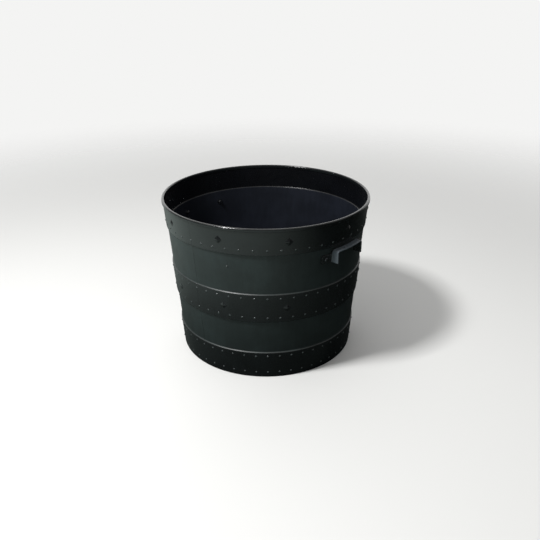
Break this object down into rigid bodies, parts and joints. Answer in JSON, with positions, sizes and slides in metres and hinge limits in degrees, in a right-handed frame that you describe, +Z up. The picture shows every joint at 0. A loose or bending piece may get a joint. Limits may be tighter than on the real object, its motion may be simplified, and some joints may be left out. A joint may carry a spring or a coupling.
{
  "type": "half-barrel planter",
  "caption": "Round black plastic half-barrel planter: tapered tub with raised hoop bands, a rolled rim and a bolted bridge handle on each side.",
  "frame": {"origin": "centre of the ring that the tub stands on, at floor level", "axes": "+Z up along the tub's axis, +X through the middle of one handle, the other handle on -X"},
  "size_m": [0.5558, 0.5398, 0.415],
  "materials": {
    "tub_polypropylene": "black injection-moulded polypropylene, satin gloss",
    "handle_polypropylene": "black injection-moulded polypropylene, satin",
    "black_steel": "blackened steel"
  },
  "bodies": {
    "root": {"tub_shell": "tub_polypropylene", "handle_right": "handle_polypropylene", "handle_left": "handle_polypropylene", "handle_screw_right_front": "black_steel", "handle_screw_right_rear": "black_steel", "handle_screw_left_front": "black_steel", "handle_screw_left_rear": "black_steel", "handle_washer_right_front": "black_steel", "handle_washer_right_rear": "black_steel", "handle_washer_left_front": "black_steel", "handle_washer_left_rear": "black_steel", "handle_nut_right_front": "black_steel", "handle_nut_right_rear": "black_steel", "handle_nut_left_front": "black_steel", "handle_nut_left_rear": "black_steel"}
  },
  "joints": []
}
